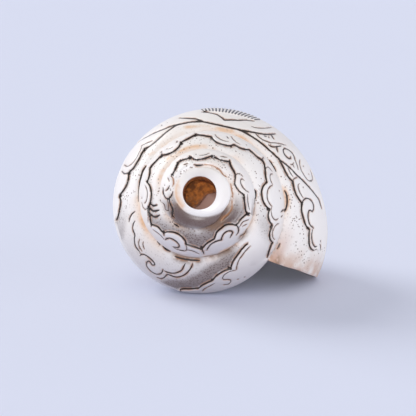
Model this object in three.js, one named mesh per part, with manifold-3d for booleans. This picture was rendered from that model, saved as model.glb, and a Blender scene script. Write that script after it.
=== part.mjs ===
import * as THREE from 'three';
import { mergeVertices } from 'three/addons/utils/BufferGeometryUtils.js';
import Module from 'manifold-3d';

// Driving dimensions of the conch, in millimetres, degrees and turns of the coil.
// Depths run down the coiling axis from the point where the ground-off tip would have been.
const seamRadius = 33.1; // seam between the whorls where the outer lip leaves it
const spireSlope = 1.65; // depth of the seam for each millimetre of its radius
const growth = [0.374, -0.0166, 0.0146]; // logarithm of size over turns, lip at zero
const shoulderFullness = 0.52; // 0 gives straight whorl sides, 1 a quarter ellipse
const tipRadius = 8.5; // front end of the canal
const tipDepth = 132.3;
const tipTaper = 0.86; // 1 would end the canal as a straight pipe
const baseTaper = 0.7; // lower is slimmer below the shoulder
const lipTaper = 1.2; // the outer lip is broader than the rest
const lipFlare = 0.06; // share by which the lip stands out at its edge
const lipFrom = -0.4; // turn where the lip starts to broaden
const lipAngle = -40.8; // place of the lip round the axis, seen from the blow hole
const lipLean = [0, 7.5, 11, 13, 0]; // how far the lip's edge leans back, seam to canal tip
const wall = 3.6; // thickness at the lip
const glaze = 0.8; // inner layer over the whorl before
const rimDepth = 17; // ground end at the blow hole
const boreRadius = 6.4;
const boreDrop = 0.9; // the hole sits this far below the axis
const axisTilt = 20; // the blow hole's end points up by this much
const restCut = 0.45; // worn flats where the shell stands

const stepsPerTurn = 44;
const firstTurn = -3.45;
const rampRows = 6;
const baseRows = 12;
const cavityEnd = -2.45;

const wasm = await Module();
wasm.setup();

const size = (turn) => Math.exp(turn * (growth[0] + turn * (growth[1] + turn * growth[2])));

const ease = THREE.MathUtils.smoothstep;

// One point of the whorl's outline at a turn: 0 is the upper seam, 1 the shoulder edge and 2 the
// canal tip. It is given as radius and depth.
function outline(turn, place) {
  const inner = seamRadius * size(turn);
  const outer = seamRadius * size(turn + 1) * (1 + lipFlare * ease(turn, -0.16, 0));
  if (place <= 1) {
    const bend = (place * Math.PI) / 2;
    const out = shoulderFullness * Math.sin(bend) + (1 - shoulderFullness) * place;
    const down = shoulderFullness * (1 - Math.cos(bend)) + (1 - shoulderFullness) * place;
    return new THREE.Vector2(
      inner + (outer - inner) * out,
      spireSlope * (inner + (seamRadius * size(turn + 1) - inner) * down),
    );
  }
  const shoulderDepth = spireSlope * seamRadius * size(turn + 1);
  const run = place - 1;
  const taper = baseTaper + (lipTaper - baseTaper) * ease(turn, lipFrom, 0);
  const swell = (share) => (1 + Math.cos(Math.PI * tipTaper * share)) / 2;
  const width = (swell(run ** taper) - swell(1)) / (1 - swell(1));
  return new THREE.Vector2(
    tipRadius + (outer - tipRadius) * width,
    shoulderDepth + (tipDepth - shoulderDepth) * run,
  );
}

// Turns a radius and depth into a point of the coil. The lip's edge leans back along its height.
function coilPoint(section, turn, lean = 0) {
  const angle = THREE.MathUtils.degToRad(lipAngle + lean - 360 * turn);
  return new THREE.Vector3(section.x * Math.cos(angle), section.x * Math.sin(angle), -section.y);
}

function leanAt(turn, place) {
  const step = (place / 2) * (lipLean.length - 1);
  const low = Math.min(Math.floor(step), lipLean.length - 2);
  return THREE.MathUtils.lerp(lipLean[low], lipLean[low + 1], step - low) * ease(turn, -0.3, 0);
}

// Triangles between two rows of points; a repeated point gives none.
function stitch(triangles, rowA, rowB) {
  for (let i = 0; i + 1 < rowA.length; i += 1) {
    triangles.push([rowA[i], rowA[i + 1], rowB[i]]);
    triangles.push([rowA[i + 1], rowB[i + 1], rowB[i]]);
  }
}

function fan(triangles, centre, ring) {
  for (let i = 0; i + 1 < ring.length; i += 1) {
    triangles.push([centre, ring[i], ring[i + 1]]);
  }
}

function geometryOf(triangles) {
  const kept = triangles.filter(
    ([a, b, c]) => a.distanceTo(b) > 1e-4 && b.distanceTo(c) > 1e-4 && c.distanceTo(a) > 1e-4,
  );
  return new THREE.BufferGeometry().setFromPoints(kept.flat());
}

function solidOf(geometry) {
  const bare = geometry.clone();
  bare.deleteAttribute('normal');
  bare.deleteAttribute('uv');
  const merged = mergeVertices(bare, 1e-3);
  return new wasm.Manifold(
    new wasm.Mesh({
      numProp: 3,
      vertProperties: new Float32Array(merged.attributes.position.array),
      triVerts: new Uint32Array(merged.index.array),
    }),
  );
}

// The closed outside: spire whorls down to the next seam, last whorl down to the canal tip.
function outsideGeometry() {
  const columns = Math.round(-firstTurn * stepsPerTurn);
  const turnOf = (column) => (column - columns) / stepsPerTurn;
  const whorl = (column, from, to, rows) => {
    const points = [];
    for (let row = 0; row <= rows; row += 1) {
      const place = from + ((to - from) * row) / rows;
      const turn = turnOf(column);
      points.push(coilPoint(outline(turn, place), turn, leanAt(turn, place)));
    }
    return points;
  };
  const triangles = [];
  for (let column = 0; column < columns; column += 1) {
    stitch(triangles, whorl(column + 1, 0, 1, rampRows), whorl(column, 0, 1, rampRows));
  }
  const bodyStart = columns - stepsPerTurn;
  const tip = new THREE.Vector3(0, 0, -tipDepth);
  for (let column = bodyStart; column < columns; column += 1) {
    const ahead = whorl(column + 1, 1, 2, baseRows);
    const behind = whorl(column, 1, 2, baseRows);
    stitch(triangles, ahead, behind);
    fan(triangles, tip, [behind[baseRows], ahead[baseRows]]);
  }
  // The mouth is closed from the lip's edge to the whorl before it.
  const lipTop = whorl(columns, 0, 1, rampRows);
  const seamStart = lipTop[0];
  fan(triangles, seamStart, lipTop.slice().reverse());
  const lipEdge = whorl(columns, 1, 2, baseRows);
  const before = whorl(bodyStart, 1, 2, baseRows);
  stitch(triangles, before, lipEdge);
  const top = new THREE.Vector3(0, 0, -outline(firstTurn, 0).y);
  const seamRing = [];
  for (let column = 0; column <= stepsPerTurn; column += 1) {
    seamRing.push(coilPoint(outline(turnOf(column), 0), turnOf(column)));
  }
  fan(triangles, top, seamRing.reverse());
  fan(triangles, top, whorl(0, 0, 1, rampRows));
  return geometryOf(triangles);
}

// One cross-section of the spiral passage, inside the wall and outside the whorl before.
function passageSection(turn) {
  const thick = wall * size(turn);
  const start = 0.24;
  const end = 1.34 + 0.4 * ease(turn, -0.4, 0);
  const outerRows = 8;
  const innerRows = 6;
  const points = [];
  for (let row = 0; row <= outerRows; row += 1) {
    const place = start + ((end - start) * row) / outerRows;
    const here = outline(turn, place);
    const along = outline(turn, place + 0.01).sub(outline(turn, place - 0.01)).normalize();
    points.push(new THREE.Vector2(here.x - along.y * thick, here.y + along.x * thick));
  }
  const deepest = points[outerRows].y;
  const highest = points[0].y;
  for (let row = innerRows; row >= 0; row -= 1) {
    const depth = highest + ((deepest - highest) * (row + 0.35)) / (innerRows + 0.7);
    points.push(new THREE.Vector2(coreRadius(turn - 1, depth) + glaze, depth));
  }
  return points;
}

// Radius of the whorl before at a depth below its shoulder.
function coreRadius(turn, depth) {
  const shoulderDepth = spireSlope * seamRadius * size(turn + 1);
  const run = (depth - shoulderDepth) / (tipDepth - shoulderDepth);
  return outline(turn, 1 + THREE.MathUtils.clamp(run, 0, 1)).x;
}

function passageGeometry() {
  const lastTurn = 0.05;
  const steps = Math.round((lastTurn - cavityEnd) * 34);
  const rings = [];
  for (let step = 0; step <= steps; step += 1) {
    const turn = cavityEnd + ((lastTurn - cavityEnd) * step) / steps;
    const section = passageSection(Math.min(turn, 0));
    const ring = section.map((point) => coilPoint(point, turn));
    ring.push(ring[0]);
    rings.push(ring);
  }
  const triangles = [];
  for (let step = 0; step < steps; step += 1) {
    stitch(triangles, rings[step + 1], rings[step]);
  }
  capSection(triangles, rings[0], false);
  capSection(triangles, rings[steps], true);
  return geometryOf(triangles);
}

// Closes one end of the passage, whose section is a bent strip.
function capSection(triangles, ring, turned) {
  const corners = ring.slice(0, -1);
  let low = 0;
  let high = corners.length - 1;
  while (high - low > 1) {
    const ends = [corners[low], corners[low + 1], corners[high]];
    triangles.push(turned ? ends.reverse() : ends);
    low += 1;
    if (high - low > 1) {
      const next = [corners[low], corners[high - 1], corners[high]];
      triangles.push(turned ? next.reverse() : next);
      high -= 1;
    }
  }
}

// A round cutter from one point to another.
function rodGeometry(from, to, radiusFrom, radiusTo) {
  const along = to.clone().sub(from);
  const rod = new THREE.CylinderGeometry(radiusTo, radiusFrom, along.length(), 28);
  rod.translate(0, along.length() / 2, 0);
  const turn = new THREE.Quaternion().setFromUnitVectors(
    new THREE.Vector3(0, 1, 0),
    along.clone().normalize(),
  );
  rod.applyQuaternion(turn);
  rod.translate(from.x, from.y, from.z);
  return rod;
}

// Everything that the ground rim leaves standing: a flat end with a rounded shoulder.
function rimEnvelope() {
  const profile = [
    [0, 200],
    [150, 200],
    [150, 80],
    [16.2, 24.6],
    [13.9, 21.4],
    [12.2, 19],
    [10.6, 17.5],
    [9, rimDepth],
    [0, rimDepth],
  ].map(([radius, depth]) => new THREE.Vector2(radius, -depth));
  const round = new THREE.LatheGeometry(profile, 36);
  round.rotateX(Math.PI / 2);
  return round;
}

const tilt = new THREE.Matrix4().makeRotationX(THREE.MathUtils.degToRad(90 - axisTilt));

// The surface that the shell lies on, in the shell's own frame.
function floorGeometry(outside) {
  const placed = outside.clone().applyMatrix4(tilt);
  placed.computeBoundingBox();
  const lowest = placed.boundingBox.min.z;
  const floor = new THREE.BoxGeometry(400, 400, 40);
  floor.translate(0, 0, lowest + restCut - 20);
  return floor.applyMatrix4(tilt.clone().invert());
}

const outside = outsideGeometry();
const bore = rodGeometry(
  new THREE.Vector3(0, -boreDrop, -rimDepth + 5),
  new THREE.Vector3(0, -boreDrop, -rimDepth - 15),
  boreRadius,
  boreRadius - 0.4,
);
// The hole breaks sideways into the spiral passage.
const link = rodGeometry(
  new THREE.Vector3(1, -2, -rimDepth - 8),
  new THREE.Vector3(-11, 9, -rimDepth - 15),
  4.6,
  4.2,
);
const canalAngle = THREE.MathUtils.degToRad(lipAngle - 6);
const canal = rodGeometry(
  new THREE.Vector3(16 * Math.cos(canalAngle), 16 * Math.sin(canalAngle), -116),
  new THREE.Vector3(5.6 * Math.cos(canalAngle), 5.6 * Math.sin(canalAngle), -tipDepth - 3),
  4.2,
  2.4,
);

const carved = solidOf(outside)
  .intersect(solidOf(rimEnvelope()))
  .subtract(solidOf(passageGeometry()))
  .subtract(solidOf(bore))
  .subtract(solidOf(link))
  .subtract(solidOf(canal))
  .subtract(solidOf(floorGeometry(outside)));

function meshGeometry(solid) {
  const mesh = solid.getMesh();
  const geometry = new THREE.BufferGeometry();
  geometry.setAttribute('position', new THREE.BufferAttribute(mesh.vertProperties, 3));
  geometry.setIndex(new THREE.BufferAttribute(mesh.triVerts, 1));
  return geometry.toNonIndexed();
}

// Ivory-white shell with a soft gloss.
const ivory = new THREE.MeshStandardMaterial({ color: 0xe9e2da, roughness: 0.38, metalness: 0 });
const placed = meshGeometry(carved).applyMatrix4(tilt);
placed.computeBoundingBox();
const middle = placed.boundingBox.getCenter(new THREE.Vector3());
placed.translate(-middle.x, -middle.y, -placed.boundingBox.min.z);
placed.computeVertexNormals();

const shell = new THREE.Mesh(placed, ivory);
shell.name = 'shell';

const conch = new THREE.Group();
conch.add(shell);

export default conch;
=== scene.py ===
import math

import bmesh
import bpy
import numpy as np
from mathutils import Matrix, Vector, kdtree
from mathutils.bvhtree import BVHTree


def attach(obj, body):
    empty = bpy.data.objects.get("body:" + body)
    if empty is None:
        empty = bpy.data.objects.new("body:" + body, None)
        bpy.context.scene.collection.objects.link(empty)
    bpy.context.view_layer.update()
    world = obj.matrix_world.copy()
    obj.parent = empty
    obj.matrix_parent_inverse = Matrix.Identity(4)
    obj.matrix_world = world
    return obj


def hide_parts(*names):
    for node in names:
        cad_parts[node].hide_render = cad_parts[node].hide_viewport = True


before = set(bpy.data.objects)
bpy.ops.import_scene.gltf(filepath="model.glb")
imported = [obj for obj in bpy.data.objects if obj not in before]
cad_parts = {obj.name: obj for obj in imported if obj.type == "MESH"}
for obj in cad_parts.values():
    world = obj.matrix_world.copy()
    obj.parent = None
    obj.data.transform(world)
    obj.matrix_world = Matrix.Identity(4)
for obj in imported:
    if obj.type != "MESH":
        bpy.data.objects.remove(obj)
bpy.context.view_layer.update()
mm = 0.001

# The coil, in millimetres, degrees and turns; the lip is at turn 0.
coil = {
    "seamRadius": 33.1,
    "spireSlope": 1.65,
    "growth": (0.374, -0.0166, 0.0146),
    "shoulderFullness": 0.52,
    "tipRadius": 8.5,
    "tipDepth": 132.3,
    "tipTaper": 0.86,
    "tipRound": (0.955, 0.4),  # where the canal's end starts to round off, and how much
    "baseTaper": 0.7,
    "lipTaper": 1.2,
    "lipFrom": -0.4,
    "lipFlare": 0.06,
    "flareFrom": -0.16,
    "lipAngle": -40.8,
    "lipLean": (0, 7.5, 11, 13, 0),  # how far the lip's edge leans back, seam to canal tip
    "leanPlaces": (0, 0.5, 1, 1.5, 2),
    "leanFrom": -0.3,
    "axisTilt": 20,
    "axisStart": (-4.988, -69.99, 53.03),  # where the axis would have met the tip
}


def ease(value, low, high):
    share = np.clip((np.asarray(value, float) - low) / (high - low), 0, 1)
    return share * share * (3 - 2 * share)


def coilSize(turn):
    a, b, c = coil["growth"]
    return np.exp(turn * (a + turn * (b + turn * c)))


# Radius and depth of the whorl: place 0 is the upper seam, 1 the shoulder, 2 the canal tip.
def outline(turn, place):
    turn, place = np.broadcast_arrays(np.asarray(turn, float), np.asarray(place, float))
    slope = coil["spireSlope"]
    full = coil["shoulderFullness"]
    inner = coil["seamRadius"] * coilSize(turn)
    shoulder = coil["seamRadius"] * coilSize(turn + 1)
    outer = shoulder * (1 + coil["lipFlare"] * ease(turn, coil["flareFrom"], 0))
    up = np.clip(place, 0, 1)
    bend = up * math.pi / 2
    out = full * np.sin(bend) + (1 - full) * up
    down = full * (1 - np.cos(bend)) + (1 - full) * up
    run = np.clip(place - 1, 0, 1)
    taper = coil["baseTaper"] + (coil["lipTaper"] - coil["baseTaper"]) * ease(turn, coil["lipFrom"], 0)
    last = (1 + math.cos(math.pi * coil["tipTaper"])) / 2
    swell = (1 + np.cos(math.pi * coil["tipTaper"] * run ** taper)) / 2
    width = (swell - last) / (1 - last)
    roundFrom, roundShare = coil["tipRound"]
    fromEnd = np.clip((run - roundFrom) / (1 - roundFrom), 0, 1)
    worn = np.sqrt(1 - roundShare * fromEnd ** 2)
    radius = np.where(place > 1, (coil["tipRadius"] + (outer - coil["tipRadius"]) * width) * worn,
                      inner + (outer - inner) * out)
    depth = np.where(place > 1, slope * shoulder + (coil["tipDepth"] - slope * shoulder) * run,
                     slope * (inner + (shoulder - inner) * down))
    return radius, depth


def leanAt(turn, place):
    return np.interp(place, coil["leanPlaces"], coil["lipLean"]) * ease(turn, coil["leanFrom"], 0)


def axisTurn():
    return np.array(Matrix.Rotation(math.radians(90 - coil["axisTilt"]), 3, "X"))


# From the shell's own axes to the frame the part stands in, and back.
def standing(points):
    return np.asarray(points, float) @ axisTurn().T + np.array(coil["axisStart"])


def onOwnAxes(points):
    return (points - np.array(coil["axisStart"])) @ axisTurn()


def coilPoint(radius, depth, turn, lean=0.0):
    angle = np.radians(coil["lipAngle"] + lean - 360 * np.asarray(turn, float))
    return standing(np.stack(np.broadcast_arrays(
        radius * np.cos(angle), radius * np.sin(angle), -depth), -1))


def surfacePoint(turn, place):
    radius, depth = outline(turn, place)
    return coilPoint(radius, depth, turn, leanAt(turn, place))


def surfaceNormal(turn, place, step=1e-3):
    along = surfacePoint(turn + step, place) - surfacePoint(turn - step, place)
    down = surfacePoint(turn, place + step) - surfacePoint(turn, place - step)
    away = np.cross(along, down)
    return away / np.linalg.norm(away, axis=-1)[..., None]


def gridFaces(first, columns, rows):
    c, r = np.meshgrid(np.arange(columns), np.arange(rows), indexing="ij")
    corner = first + c * (rows + 1) + r
    ahead = corner + rows + 1
    return np.stack((ahead, ahead + 1, corner + 1, corner), -1).reshape(-1, 4).tolist()


# Faces between closed rings of points that follow each other.
def ringFaces(rings, sides, capped=True):
    faces = []
    for ring in range(rings - 1):
        for k in range(sides):
            low = ring * sides + k
            beside = ring * sides + (k + 1) % sides
            faces.append((low, beside, beside + sides, low + sides))
    if capped:
        faces.append(tuple(range(sides)))
        faces.append(tuple(range((rings - 1) * sides, rings * sides)))
    return faces


def meshObject(name, points, faces):
    mesh = bpy.data.meshes.new(name)
    mesh.from_pydata((np.asarray(points) * mm).tolist(), [], faces)
    form = bmesh.new()
    form.from_mesh(mesh)
    bmesh.ops.remove_doubles(form, verts=form.verts, dist=1e-7)
    bmesh.ops.dissolve_degenerate(form, edges=form.edges, dist=1e-8)
    bmesh.ops.triangulate(form, faces=form.faces)
    bmesh.ops.recalc_face_normals(form, faces=form.faces)
    form.to_mesh(mesh)
    form.free()
    thing = bpy.data.objects.new(name, mesh)
    bpy.context.scene.collection.objects.link(thing)
    return thing


# The outside before it is opened.
grain = {
    "columns": 270,  # in each turn
    "rampRows": 29,
    "baseRows": 34,
    "baseSpread": 1.3,
    "firstTurn": -3.45,
    "tipRows": (0.955, 0.972, 0.984, 0.992, 0.997, 1),
}


def wholeShell():
    step = grain["columns"]
    down = np.arange(grain["baseRows"]) / grain["baseRows"]
    upperRows = grain["tipRows"][0] * down ** grain["baseSpread"]
    basePlaces = 1 + np.concatenate((upperRows, grain["tipRows"]))
    ramp, base = grain["rampRows"], len(basePlaces) - 1
    columns = round(-grain["firstTurn"] * step)
    turns = (np.arange(columns + 1) - columns) / step
    places = np.arange(ramp + 1) / ramp
    spireTurn, spirePlace = [a.ravel() for a in np.meshgrid(turns, places, indexing="ij")]
    sideTurn, sidePlace = [a.ravel() for a in np.meshgrid(
        turns[columns - step:], basePlaces, indexing="ij")]
    turn = np.concatenate((spireTurn, sideTurn))
    place = np.concatenate((spirePlace, sidePlace))
    points = surfacePoint(turn, place)
    side = len(spireTurn)
    faces = gridFaces(0, columns, ramp) + gridFaces(side, step, base)
    topDepth = outline(grain["firstTurn"], 0.0)[1]
    ends = standing([(0, 0, -topDepth), (0, 0, -coil["tipDepth"])])
    top = len(points)
    tip = top + 1
    # the tip of the canal, the mouth and the start of the coil are closed
    for column in range(step):
        low = side + column * (base + 1) + base
        faces.append((tip, low, low + base + 1))
        rise = column * (ramp + 1)
        faces.append((top, rise + ramp + 1, rise))
    for row in range(ramp):
        faces.append((top, row, row + 1))
        lip = columns * (ramp + 1)
        if row:
            faces.append((lip, lip + row + 1, lip + row))
    for row in range(base):
        lip = side + step * (base + 1) + row
        before = side + row
        faces.append((before, before + 1, lip + 1, lip))
    return meshObject("shellForm", np.concatenate((points, ends)), faces), points, turn, place


# What is taken out of the shell: the ground tip, the passage, the blow hole, the canal and the floor.
opening = {
    "rim": ((150, 80), (16.2, 24.6), (13.9, 21.4), (12.2, 19), (10.6, 17.5), (9, 17)),
    "rimSides": 260,
    "rimStep": 0.45,
    "rimWornTo": 27.0,
    "rimBack": 200,
    "wall": 3.6,
    "glaze": 0.8,
    "deepest": -1.95,
    "mouthEnd": 0.05,
    "passageRings": 180,
    "passagePlaces": (0.24, 1.34),
    "lipReach": 0.4,  # the passage opens this much further down at the lip
    "outerSteps": 17,
    "innerSteps": 12,
    "innerGap": 0.35,
    "boreCentre": (0, -0.9),
    "boreTop": -12,
    "boreFloor": -32,
    "boreRadius": 6.4,
    "ledgeAim": (0.77, -0.64),
    "ledgeAlong": (-6.2, -3.2, -0.3, 2.3, 4.6),
    "ledgeEdge": (-0.5, 0.8, 0.5, 0.4, 2.4),
    "ledgeRound": (-0.4, 1.6),
    "ledgeRise": 8.0,
    "ledgeSlope": 0.9,
    "ledgeSlopeFrom": 0.6,
    "linkFrom": (1, -2, -25),
    "linkTo": (-11, 9, -32),
    "linkRadius": (4.6, 4.2),
    "canalReach": ((16, 116), (5.6, 135.3)),
    "canalRadius": (4.2, 2.4),
    "canalAngle": -6,  # from the lip
    "floorHalf": 300,
    "floorDeep": 40,
}


def passageSection(turn, step=0.01):
    thick = opening["wall"] * coilSize(turn)
    first, last = opening["passagePlaces"]
    last = last + opening["lipReach"] * float(ease(turn, coil["lipFrom"], 0))
    place = np.linspace(first, last, opening["outerSteps"])
    radius, depth = outline(turn, place)
    ahead = outline(turn, place + step)
    behind = outline(turn, place - step)
    along = np.stack((ahead[0] - behind[0], ahead[1] - behind[1]))
    along /= np.linalg.norm(along, axis=0)
    outer = np.stack((radius - along[1] * thick, depth + along[0] * thick), -1)
    steps, gap = opening["innerSteps"], opening["innerGap"]
    share = (np.arange(steps, -1, -1) + gap) / (steps + 2 * gap)
    innerDepth = outer[0, 1] + (outer[-1, 1] - outer[0, 1]) * share
    shoulder = coil["spireSlope"] * coil["seamRadius"] * coilSize(turn)
    run = np.clip((innerDepth - shoulder) / (coil["tipDepth"] - shoulder), 0, 1)
    inner = np.stack((outline(turn - 1, 1 + run)[0] + opening["glaze"], innerDepth), -1)
    return np.concatenate((outer, inner))


def passageForm():
    rings = []
    for turn in np.linspace(opening["deepest"], opening["mouthEnd"], opening["passageRings"]):
        section = passageSection(min(turn, 0.0))
        rings.append(coilPoint(section[:, 0], section[:, 1], turn))
    return meshObject("passageForm", np.concatenate(rings), ringFaces(len(rings), len(rings[0])))


def rodForm(name, start, end, radii, sides=64, rings=14):
    start, end = Vector(start), Vector(end)
    turnTo = (end - start).to_track_quat("Z", "Y").to_matrix()
    points = []
    for ring in range(rings):
        share = ring / (rings - 1)
        radius = radii[0] + (radii[1] - radii[0]) * share
        for k in range(sides):
            angle = 2 * math.pi * k / sides
            spoke = turnTo @ Vector((radius * math.cos(angle), radius * math.sin(angle), 0))
            points.append(tuple(start.lerp(end, share) + spoke))
    return meshObject(name, standing(points), ringFaces(rings, sides))


# The ground rim from its far edge to its flat end, in fine steps with the corners worn round.
def rimProfile():
    radius, depth = np.array(opening["rim"]).T
    fine = np.arange(radius[-1], opening["rimWornTo"], opening["rimStep"])
    smooth = np.interp(fine, radius[::-1], depth[::-1])
    smooth[2:-2] = np.convolve(smooth, np.full(5, 0.2), "valid")
    worn = [(float(r), float(d)) for r, d in zip(fine, smooth)][::-1]
    far, back = opening["rim"][0], opening["rimBack"]
    return [(0, back), (far[0], back), far] + worn + [(0, float(depth[-1]))]


def rimForm():
    sides = opening["rimSides"]
    profile = rimProfile()
    points = []
    for radius, depth in profile:
        for k in range(sides):
            angle = 2 * math.pi * k / sides
            points.append((radius * math.cos(angle), radius * math.sin(angle), -depth))
    return meshObject("rimForm", standing(points), ringFaces(len(profile), sides, False))


# How far a spot in the blow hole is past the edge of the pale ledge, at the lower right.
def pastLedge(across, up):
    aimX, aimY = opening["ledgeAim"]
    edge = np.interp(across * -aimY + up * aimX, opening["ledgeAlong"], opening["ledgeEdge"])
    return aimX * across + aimY * up - edge


# The blow hole: a round wall, and a floor that rises to the ledge.
def boreForm(sides=72):
    angle = np.arange(sides) * 2 * math.pi / sides
    x, y = opening["boreCentre"]
    top = opening["boreTop"]
    rows = [(1.0, share) for share in np.linspace(0, 1, 16)]  # down the wall
    rows += [(share, 1.0) for share in np.linspace(0.95, 0.04, 17)]  # in across the floor
    points = []
    for share, down in rows:
        radius = opening["boreRadius"] * share
        across, up = radius * np.cos(angle), radius * np.sin(angle)
        past = pastLedge(across, up)
        floor = opening["boreFloor"] + opening["ledgeRise"] * ease(past, *opening["ledgeRound"])
        floor = floor + opening["ledgeSlope"] * np.maximum(past - opening["ledgeSlopeFrom"], 0)
        points.append(np.stack((x + across, y + up, top + (floor - top) * down), -1))
    return meshObject("boreForm", standing(np.concatenate(points)), ringFaces(len(rows), sides))


# Everything below the surface the shell lies on.
def floorForm():
    half = opening["floorHalf"]
    corners = ((-half, -half), (half, -half), (half, half), (-half, half))
    points = [(x, y, z) for z in (-opening["floorDeep"], 0) for x, y in corners]
    faces = [(0, 1, 2, 3), (4, 5, 6, 7)]
    faces += [(k, (k + 1) % 4, 4 + (k + 1) % 4, 4 + k) for k in range(4)]
    return meshObject("floorForm", points, faces)


# A ribbed fan stands on the top of the shell, behind the wavy edge.
fan = {
    "turn": -0.331,
    "place": 0.615,
    "ribs": 16,
    "pitch": 1.32,
    "ribSteps": 6,
    "length": 11.0,
    "spread": 0.22,
    "frontBow": 2.0,
    "backBow": 2.4,
    "backNotch": 0.5,
    "rise": 0.55,
    "sunk": 0.9,
    "gapDepth": 0.46,
    "gapShade": (-0.8, 0.3),
    "trackPlaces": (0.4, 1.7),
    "girthPlace": 0.85,
    # share of the length, how high it stands there and how strongly shade is painted in the gaps
    "rows": ((0, -1, 0), (0.02, 0.5, 0.3), (0.06, 0.85, 1), (0.15, 1, 1), (0.3, 1, 1), (0.5, 1, 1),
             (0.7, 1, 1), (0.85, 1, 1), (0.94, 0.85, 1), (0.98, 0.5, 0.3), (1, -1, 0)),
}


# Millimetres to the side and to the back of the fan's front edge become a turn and a place.
def fanSpot(side, back, steps=400):
    places = np.linspace(*fan["trackPlaces"], steps)
    track = surfacePoint(np.full(steps, fan["turn"]), places)
    run = runLength(track)
    run -= np.interp(fan["place"], places, run)
    girth = 2 * math.pi * outline(fan["turn"], fan["girthPlace"])[0]
    return fan["turn"] + side / girth, np.interp(back, run, places)


# How far along a track each of its points is.
def runLength(track):
    return np.concatenate(((0,), np.cumsum(np.linalg.norm(np.diff(track, axis=0), axis=1))))


def fanForm():
    columns = fan["ribs"] * fan["ribSteps"] + 1
    step = np.arange(columns)
    wave = -np.cos(2 * math.pi * step / fan["ribSteps"])
    width = fan["ribs"] * fan["pitch"]
    across = (step / (columns - 1) - 0.5) * width
    bow = (2 * across / width) ** 2
    front = fan["frontBow"] * bow
    back = fan["length"] - fan["backBow"] * bow - fan["backNotch"] * (1 - wave) / 2
    rows, gaps = [], []
    for share, height, gap in fan["rows"]:
        reach = front + (back - front) * share
        turn, place = fanSpot(across * (1 + fan["spread"] * reach / fan["length"]), reach)
        lift = np.full(columns, fan["rise"] * height if height > 0 else -fan["sunk"])
        lift -= fan["gapDepth"] * gap * (1 - wave) / 2 * max(height, 0)
        rows.append(surfacePoint(turn, place) + surfaceNormal(turn, place) * lift[:, None])
        # painted shade: how dark the gap between the ribs is painted
        gaps.append(gap * ease(-wave, *fan["gapShade"]))
    points = np.stack(rows, 1).reshape(-1, 3)
    faces = ringFaces(columns, len(rows))
    return meshObject("fanForm", points, faces), points, np.stack(gaps, 1).ravel()


def cut(thing, tool, operation="DIFFERENCE"):
    change = thing.modifiers.new("cut", "BOOLEAN")
    change.operation = operation
    change.solver = "MANIFOLD"
    change.object = tool
    graph = bpy.context.evaluated_depsgraph_get()
    made = bpy.data.meshes.new_from_object(thing.evaluated_get(graph))
    thing.modifiers.clear()
    old = thing.data
    thing.data = made
    bpy.data.meshes.remove(old)
    bpy.data.objects.remove(tool)
    print("cut", operation.lower(), len(made.vertices), "points")


def openShell():
    shell, points, turn, place = wholeShell()
    print("outside grown:", len(shell.data.polygons), "faces")
    angle = math.radians(coil["lipAngle"] + opening["canalAngle"])
    canal = [(r * math.cos(angle), r * math.sin(angle), -d) for r, d in opening["canalReach"]]
    cut(shell, rimForm(), "INTERSECT")
    cut(shell, passageForm())
    cut(shell, boreForm())
    cut(shell, rodForm("linkForm", opening["linkFrom"], opening["linkTo"], opening["linkRadius"]))
    cut(shell, rodForm("canalForm", canal[0], canal[1], opening["canalRadius"]))
    cut(shell, floorForm())
    form, fanPoints, fanGaps = fanForm()
    cut(shell, form, "UNION")
    return shell, (points, turn, place), (fanPoints, fanGaps)


# The camera stands where the photograph was taken from.
photo = {
    "side": 416,
    "focal": 1800.0,
    "axisPixel": (196.4, 183.3),
    "distance": 660.0,
    "azimuth": 4.29,
    "elevation": 11.0,
    "sensor": 36.0,
    "clipEnd": 100,
}


def cameraAxes():
    a, e = math.radians(photo["azimuth"]), math.radians(photo["elevation"])
    back = Vector((math.sin(a) * math.cos(e), -math.cos(a) * math.cos(e), math.sin(e)))
    right = Vector((math.cos(a), math.sin(a), 0))
    return right, back.cross(right), back


def cameraPlace():
    return Vector(coil["axisStart"]) + cameraAxes()[2] * photo["distance"]


def makeCamera():
    data = bpy.data.cameras.new("photoCamera")
    data.sensor_width = photo["sensor"]
    data.lens = photo["focal"] / photo["side"] * photo["sensor"]
    half = photo["side"] / 2
    data.shift_x = (half - photo["axisPixel"][0]) / photo["side"]
    data.shift_y = (photo["axisPixel"][1] - half) / photo["side"]
    data.clip_end = photo["clipEnd"]
    camera = bpy.data.objects.new("photoCamera", data)
    facing = Matrix(cameraAxes()).transposed().to_4x4()
    camera.matrix_world = Matrix.Translation(cameraPlace() * mm) @ facing
    bpy.context.scene.collection.objects.link(camera)
    bpy.context.scene.camera = camera
    print("camera set", photo["distance"], "mm from the tip")


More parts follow.
